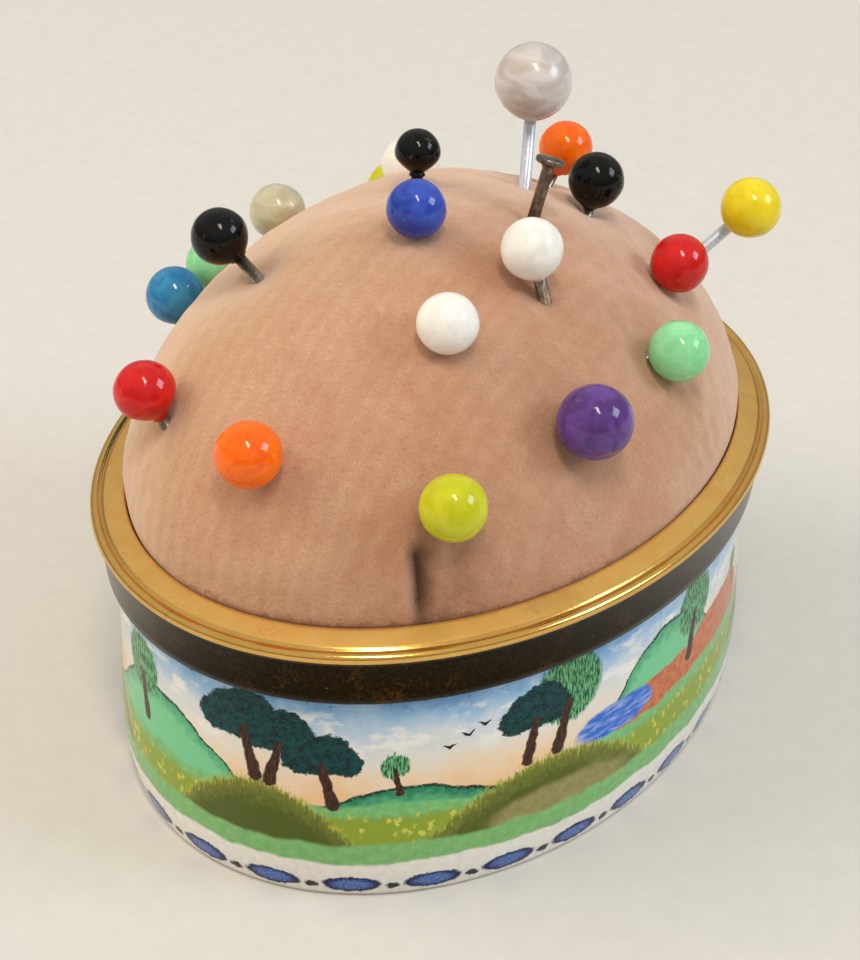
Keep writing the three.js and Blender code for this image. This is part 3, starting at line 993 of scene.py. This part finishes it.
def closed_pad(cells, top, rings, under):
    """Points and faces from a top grid, out and down rings of (half length, height), to a grid underneath."""
    plan = disc_grid(cells)
    border = grid_border(cells)
    plan_border = [plan[v] for v in border]
    points = list(top)
    faces = grid_faces(cells)
    previous = border
    for half, height in rings:
        ring = list(range(len(points), len(points) + len(border)))
        points += outline_ring(half, height, plan_border)
        faces += belt(previous, ring)
        previous = ring
    first_under = len(points)
    points += under
    faces += grid_faces(cells, first_under, flipped=True)
    faces += belt(previous, [first_under + v for v in border])
    return points, faces


def surface_normals(points, faces):
    normals = np.zeros((len(points), 3))
    co = np.array([tuple(p) for p in points])
    for face in faces:
        a, b, c, d = (co[v] for v in face)
        across = np.cross(c - a, d - b)
        for v in face:
            normals[v] += across
    return normals / np.maximum(np.linalg.norm(normals, axis=1), 1e-12)[:, None]


def pin_distance(place):
    """The distance from a place to the nearest pin's axis, above the pin's point."""
    nearest = 1e9
    for pin in PINS:
        if (place - pin.point).dot(pin.axis) > 0:
            nearest = min(nearest, pin.aside(place))
    return nearest


def inflated(points, faces, held):
    """The points after the cloth solver has blown the cushion up against its held places."""
    mesh = bpy.data.meshes.new("cushion_sim")
    mesh.from_pydata([tuple(c * SIM_SCALE * MM for c in p) for p in points], [], faces)
    piece = new_object("cushion_sim", mesh)
    group = piece.vertex_groups.new(name="held")
    for index, weight in held.items():
        group.add([index], weight, "REPLACE")
    cloth = piece.modifiers.new("cloth", "CLOTH")
    settings = cloth.settings
    settings.quality = 6
    settings.mass = 0.25
    settings.tension_stiffness = settings.compression_stiffness = 20
    settings.shear_stiffness = 8
    settings.bending_stiffness = 1.0
    settings.vertex_group_mass = "held"
    settings.use_pressure = True
    settings.uniform_pressure_force = 900
    settings.effector_weights.gravity = 0
    cloth.point_cache.frame_start, cloth.point_cache.frame_end = 1, SIM_FRAMES
    scene = bpy.context.scene
    for step in range(1, SIM_FRAMES + 1):
        scene.frame_set(step)
    graph = bpy.context.evaluated_depsgraph_get()
    result = piece.evaluated_get(graph).to_mesh()
    found = [v.co / (SIM_SCALE * MM) for v in result.vertices]
    scene.frame_set(1)
    bpy.data.objects.remove(piece)
    return found


def swollen_dome():
    """The dome's surface points after the simulation."""
    slack_points = dome_surface(VELVET_HALF + 0.05, DOME_HEIGHT + VELVET_PROUD - SLACK)
    faces = grid_faces(GRID)
    normals = surface_normals(slack_points, faces)
    border = grid_border(GRID)
    held = {v: 1.0 for v in border}
    for i, place in enumerate(slack_points):
        away = pin_distance(place)
        if away < DIMPLE_RADIUS:
            depth = DIMPLE_DEPTH * (1 - (away / DIMPLE_RADIUS) ** 2)
            slack_points[i] = place - Vector(normals[i]) * depth
            held[i] = 1.0
    count = len(slack_points)
    closed = list(slack_points) + [Vector((p.x, p.y, DOME_BASE - 1)) for p in slack_points]
    closed_faces = faces + grid_faces(GRID, count, flipped=True)
    closed_faces += belt(border, [count + v for v in border])
    held.update({count + i: 1.0 for i in range(count)})
    moved = inflated(closed, closed_faces, held)[:count]
    capped = []
    for start, end, normal in zip(slack_points, moved, normals):
        step = end - start
        if step.length > SWELL_CAP:
            step *= SWELL_CAP / step.length
        # Near the lip the velvet presses outwards, so it never draws in there.
        outwards = Vector(normal)
        near_lip = clamped((DOME_BASE + LIP_SWELL_HEIGHT - start.z) / LIP_SWELL_HEIGHT)
        short = SLACK * min(1.0, 1.6 * near_lip) - step.dot(outwards)
        capped.append(start + step + outwards * max(0.0, short) * min(1.0, 3 * near_lip))
    return capped


def make_cushion():
    """The velvet over its dome, down inside the wall and in under the card, as one closed cover."""
    hem_top = HEM_BOTTOM + HEM_THICKNESS
    inside = TUCK_HALF - HEM_THICKNESS
    rings = [(VELVET_HALF - 0.02, WALL_TOP + 0.8), (VELVET_HALF - 0.3, WALL_TOP + 0.35)]
    rings += [(TUCK_HALF + 0.1, WALL_TOP + 0.05), (TUCK_HALF, 13.5), (TUCK_HALF, 9), (TUCK_HALF, 4.5)]
    rings += [(TUCK_HALF, 2.1), (TUCK_HALF - 0.15, HEM_BOTTOM + 0.1), (18.9, HEM_BOTTOM), (16, HEM_BOTTOM)]
    rings += [(HEM_EDGE + 0.2, HEM_BOTTOM + 0.02), (HEM_EDGE, HEM_BOTTOM + 0.3)]
    rings += [(HEM_EDGE + 0.2, hem_top - 0.02), (16, hem_top), (inside - 0.1, hem_top)]
    rings += [(inside, hem_top + 0.3), (inside, 6), (inside, 11), (inside, WALL_TOP - 0.3)]
    inner = dome_surface(VELVET_HALF - CLOTH_DEPTH, DOME_HEIGHT - CLOTH_DEPTH)
    points, faces = closed_pad(GRID, swollen_dome(), rings, inner)
    piece = mesh_object("velvet_cushion_cover", points, faces)
    smooth = piece.modifiers.new("smooth", "SUBSURF")
    smooth.levels = smooth.render_levels = 1
    graph = bpy.context.evaluated_depsgraph_get()
    piece.data = bpy.data.meshes.new_from_object(piece.evaluated_get(graph))
    piece.modifiers.clear()
    sculpt_cushion(piece)
    piece.data.materials.clear()
    piece.data.materials.append(velvet_material())
    add_piece(piece, "box", "velvet", "velvet_cover")


def sculpt_cushion(piece):
    """Presses in the crease and the soft folds beside it, and lumps the stuffing a little."""
    mesh = piece.data
    crease = mesh.attributes.new("crease", "FLOAT", "POINT")
    stain = mesh.attributes.new("stain", "FLOAT", "POINT")
    run = CREASE_FOOT - CREASE_TOP
    across = Vector((run.y, -run.x)).normalized()
    if across.x < 0:
        across = -across
    normals = [v.normal.copy() for v in mesh.vertices]
    for v in mesh.vertices:
        place = v.co / MM
        if place.z < DOME_BASE - 0.6:
            continue
        flat = Vector((place.x, place.y))
        share = (flat - CREASE_TOP).dot(run) / run.length_squared
        aside = (flat - CREASE_TOP - run * share).dot(across)
        along = clamped((share + 0.2) / 0.3) * clamped((1.15 - share) / 0.35)
        steep = aside / CREASE_WIDTH if aside < 0 else aside / (2.6 * CREASE_WIDTH)
        depth = along * math.exp(-steep * steep)
        near_lip = clamped((place.z - DOME_BASE - 0.2) / 0.9)
        folds = 0.0
        if aside > 0:
            fade = math.exp(-(aside / 4.2) ** 2) * clamped((share + 1.2) / 1.6)
            folds = 0.22 * fade * math.sin(aside * 2.4 + 1.2 * noise.noise(place * 0.3))
        lump = 0.16 * noise.noise(place * 0.16) + 0.05 * noise.noise(place * 0.6)
        lump += 0.045 * noise.noise(place * 1.3)
        shift = (lump - CREASE_DEPTH * depth - max(0.0, -folds)) * near_lip
        v.co += normals[v.index] * shift * MM
        crease.data[v.index].value = depth
        spread = (flat - BROWN_PATCH_CENTRE).length
        stain.data[v.index].value = max(0.0, 1 - spread / 3.6) * (1.0 if aside > -0.2 else 0.25)
    mesh.update()


def velvet_material():
    m = Material("velvet", Roughness=0.95)
    here = m.millimetres()
    patches = m.noise(here, 0.16, 4, 0.6)
    nap = m.noise(m.stretched(here, (1, 1, 0.7)), 0.9, 4, 0.6, 0.4)
    # The pile stands in faint rows that run along the cushion.
    rows = m.wave(here, "X", 0.32, 2.2, 3.0, 1.1)
    tufts = m.noise(here, 3.6, 3, 0.6)
    pile = m.noise(here, 11, 3, 0.75)
    # The left side is painted paler and creamier: painted light falling from the left.
    painted_left_light = m.fade(m.along("X", here), 5, -15, 0, 0.85)
    colour = m.mix(m.fade(patches, 0.32, 0.7), (190, 139, 110), (204, 160, 131))
    colour = m.mix(m.fade(nap, 0.36, 0.72, 0, 0.4), colour, (212, 172, 142))
    colour = m.mix(painted_left_light, colour, (222, 186, 142))
    colour = m.mix(m.fade(tufts, 0.5, 0.3, 0, 0.22), colour, (166, 116, 86))
    colour = m.mix(m.fade(pile, 0.62, 0.34, 0, 0.36), colour, (160, 110, 80))
    colour = m.mix(m.times(rows, 0.16), colour, (172, 122, 92))
    # Dark dots for holes left by pins that have been moved, painted as the shade inside them, a fine dirt, and a
    # mottled brown patch to the right of the crease.
    old_holes = m.node("TexVoronoi", Vector=here, Scale=0.34, Randomness=1.0)
    rare = m.fade(m.noise(here, 0.4, 2), 0.52, 0.56)
    holes = m.times(m.fade(old_holes, 0.075, 0.03), rare)
    colour = m.mix(m.times(holes, 0.8), colour, (104, 62, 34))
    specks = m.fade(m.noise(here, 2.3, 3), 0.7, 0.76)
    colour = m.mix(m.times(specks, 0.4), colour, (134, 86, 54))
    crease, stain = (
        m.node("Attribute", output=2, settings={"attribute_name": name}) for name in ("crease", "stain")
    )
    # A mottled brown patch to the right of the crease.
    mottled = m.times(stain, m.fade(m.noise(here, 1.1, 4), 0.3, 0.7, 0.25, 1.0))
    colour = m.mix(m.times(mottled, 0.7), colour, (132, 88, 60))
    # Down the crease the velvet is painted almost black-brown: painted shade in the fold.
    colour = m.mix(m.times(crease, 0.95), colour, (52, 30, 16))
    # Against the lip the velvet is painted darker in a ragged band: painted shade where it meets the lip, and
    # short dark tufts of crushed pile.
    height = m.along("Z", here)
    frayed = m.plus(height, m.times(m.plus(tufts, nap), -1.1))
    edge = m.fade(frayed, DOME_BASE - 0.7, DOME_BASE - 1.15)
    colour = m.mix(m.times(edge, 0.6), colour, (124, 76, 46))
    # Seen along the surface, the colour is painted paler: a painted sheen, where the tips of the pile catch the
    # light.
    facing = m.node("LayerWeight", 0.5, output=1)
    colour = m.mix(m.fade(facing, 0.38, 0.92, 0, 0.62), colour, (232, 206, 188))
    m.look(Base_Color=colour, Specular_IOR_Level=0.1)
    m.look(Sheen_Weight=0.5, Sheen_Roughness=0.5, Sheen_Tint=srgb(250, 224, 206))
    relief = m.plus(m.times(nap, 1.6), m.times(tufts, 1.0))
    relief = m.plus(relief, m.times(pile, 0.8))
    m.bump(m.plus(relief, m.times(rows, 0.3)), 0.12, 0.75)
    return m.material


# -------- what lies inside


def copper_material():
    m = Material("copper", Roughness=0.35, Metallic=1.0)
    here = m.millimetres()
    bloom = m.noise(here, 0.5, 5, 0.6)
    scratches = m.noise(m.stretched(here, (3, 3, 0.4)), 3, 3)
    colour = m.mix(m.fade(bloom, 0.35, 0.68), (184, 104, 66), (122, 62, 44))
    m.look(Base_Color=m.mix(m.fade(scratches, 0.6, 0.75, 0, 0.4), colour, (222, 150, 110)))
    m.look(Roughness=m.fade(bloom, 0.3, 0.7, 0.26, 0.5))
    m.bump(scratches, 0.01, 0.5)
    return m.material


def lining_material():
    m = Material("lining_enamel", Roughness=0.2)
    here = m.millimetres()
    flecks = m.fade(m.noise(here, 2.8, 4, 0.6), 0.62, 0.72)
    colour = m.mix(m.noise(here, 0.4, 4), (218, 212, 198), (234, 230, 220))
    m.look(Base_Color=m.mix(m.times(flecks, 0.7), colour, (96, 118, 158)))
    m.look(Roughness=m.fade(m.noise(here, 1.2, 3), 0.3, 0.7, 0.12, 0.28))
    m.bump(m.noise(here, 1.6, 3), 0.03, 0.4)
    return m.material


def card_material():
    m = Material("card", Roughness=0.9)
    here = m.millimetres()
    pulp = m.noise(m.stretched(here, (1, 1, 4)), 1.6, 5, 0.65)
    fibres = m.fade(m.noise(m.stretched(here, (0.6, 4, 1)), 2.4, 3), 0.6, 0.7)
    colour = m.mix(m.fade(pulp, 0.3, 0.7), (158, 134, 100), (190, 168, 132))
    m.look(Base_Color=m.mix(m.times(fibres, 0.5), colour, (120, 96, 66)))
    m.bump(pulp, 0.06, 0.6)
    return m.material


def thread_material():
    m = Material("thread", Roughness=0.85)
    here = m.millimetres()
    twist = m.wave(here, "DIAGONAL", 1.3, 1.0)
    colour = m.mix(twist, (176, 164, 136), (222, 212, 188))
    m.look(Base_Color=m.mix(m.noise(here, 4, 3), colour, (196, 184, 156)))
    m.look(Sheen_Weight=0.3)
    m.bump(twist, 0.08, 0.8)
    return m.material


def wadding_material():
    m = Material("wadding", Roughness=1.0)
    here = m.millimetres()
    tufts = m.noise(here, 0.7, 6, 0.7, 1.2)
    colour = m.mix(m.fade(tufts, 0.3, 0.7), (206, 196, 174), (236, 230, 214))
    m.look(Base_Color=colour, Sheen_Weight=0.4)
    m.bump(tufts, 0.25, 0.8)
    return m.material


FILLING_LOW, FILLING_HIGH = box_mm("cushion_filling")
WADDING_GRID = 48


def make_wadding():
    """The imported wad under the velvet: lumpy, flat underneath where it lies on the card."""
    half = FILLING_HIGH.y
    floor = FILLING_LOW.z
    wall = TUCK_HALF - HEM_THICKNESS - 0.45
    top = dome_surface(half, DOME_HEIGHT - (VELVET_HALF - half), WADDING_GRID)
    rings = [(wall, height) for height in (13.5, 10, 7, floor + 0.6)] + [(wall - 0.5, floor)]
    plan = disc_grid(WADDING_GRID)
    under = [Vector((x * (wall - 1 - OVAL_DIFFERENCE), y * (wall - 1), floor)) for x, y in plan]
    points, faces = closed_pad(WADDING_GRID, top, rings, under)
    middle = Vector((0, 0, 12))
    lumpy = []
    for place in points:
        inwards = (middle - place).normalized() * 0.35 * abs(noise.noise(place * 0.45))
        if place.z <= floor + 0.01:
            inwards = Vector((0, 0, 0))
        lumpy.append(place + inwards)
    piece = mesh_object("wadding_pad", lumpy, faces, wadding_material())
    return add_piece(piece, "box", "wadding", "cushion_filling")


def dress_hidden_parts():
    for node, slot, material in (
        ("copper_shell", "copper", copper_material()),
        ("lining_enamel", "lining_enamel", lining_material()),
        ("base_card", "card", card_material()),
        ("gathering_thread", "thread", thread_material()),
    ):
        part = nodes[node]
        part.data.materials.clear()
        part.data.materials.append(material)


# -------- the scene

make_camera()
make_lights()
make_floor()
make_cup()
make_rim()
make_pins()
make_cushion()
make_wadding()
dress_hidden_parts()
